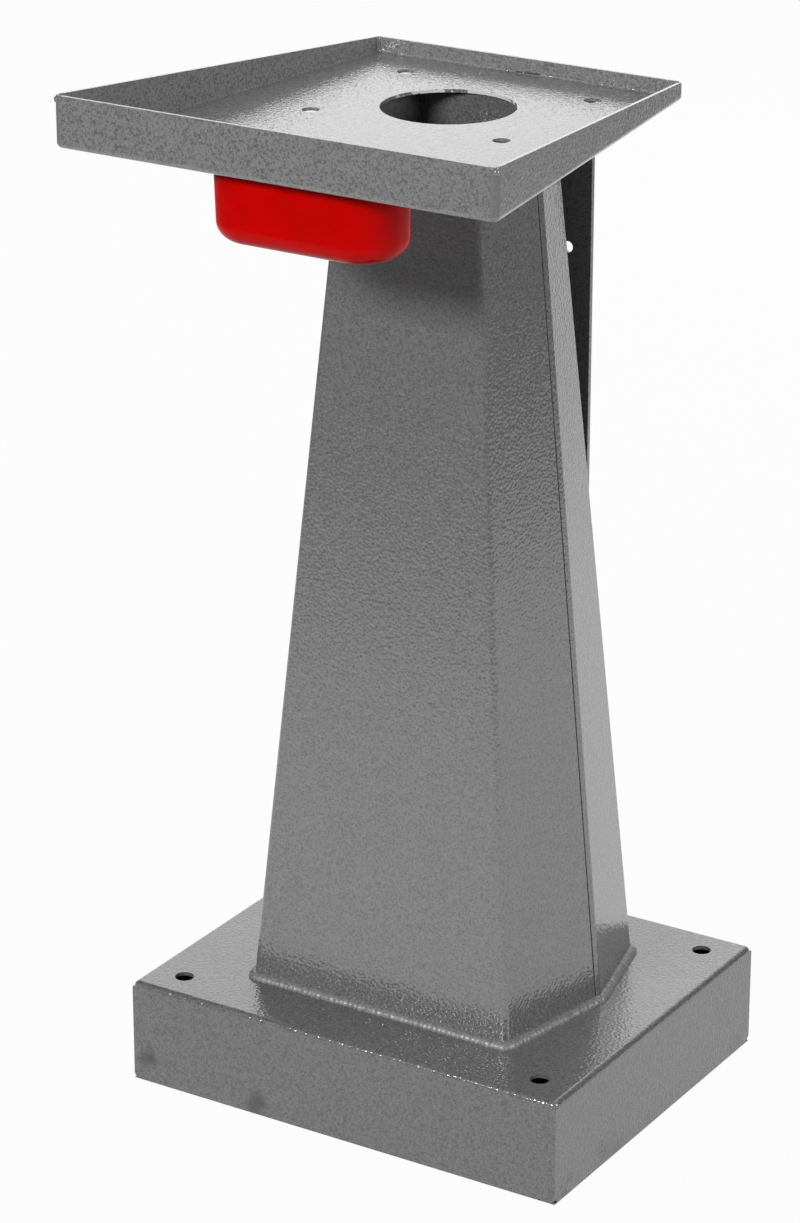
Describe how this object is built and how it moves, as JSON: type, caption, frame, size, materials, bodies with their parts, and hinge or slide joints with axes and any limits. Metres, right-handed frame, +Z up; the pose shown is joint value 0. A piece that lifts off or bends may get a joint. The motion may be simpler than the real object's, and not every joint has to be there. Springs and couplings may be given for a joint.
{
  "type": "bench grinder stand",
  "caption": "Floor stand for a bench grinder: a folded base to bolt down, a tapered steel column, a rimmed tray with bolt holes and a red water cup that lifts out.",
  "frame": {"origin": "the middle of the base, on the floor", "axes": "+Z up along the column's symmetry plane, +Y from the tall front rim of the tray towards the rear plate, +X to the right of someone at the front"},
  "size_m": [0.38, 0.3905, 0.81],
  "materials": {
    "hammer_paint": "grey hammer paint, speckled, semi-gloss",
    "painted_weld": "the same grey paint over a weld bead",
    "red_plastic": "smooth glossy red moulding"
  },
  "bodies": {
    "stand": {"base_pan": "hammer_paint", "base_corner_welds": "painted_weld", "column_front_shell": "hammer_paint", "column_rear_shell": "hammer_paint", "column_seam_welds": "painted_weld", "column_foot_weld": "painted_weld", "column_head_weld": "painted_weld", "rear_plate": "hammer_paint", "rear_plate_welds": "painted_weld", "grinder_tray": "hammer_paint", "tray_corner_welds": "painted_weld"},
    "water_cup": {"water_cup": "red_plastic"}
  },
  "joints": [
    {"name": "cup_lift", "type": "slide", "parent": "stand", "child": "water_cup", "axis": [0, 0, 1], "range_m": [0, 0.1]}
  ]
}
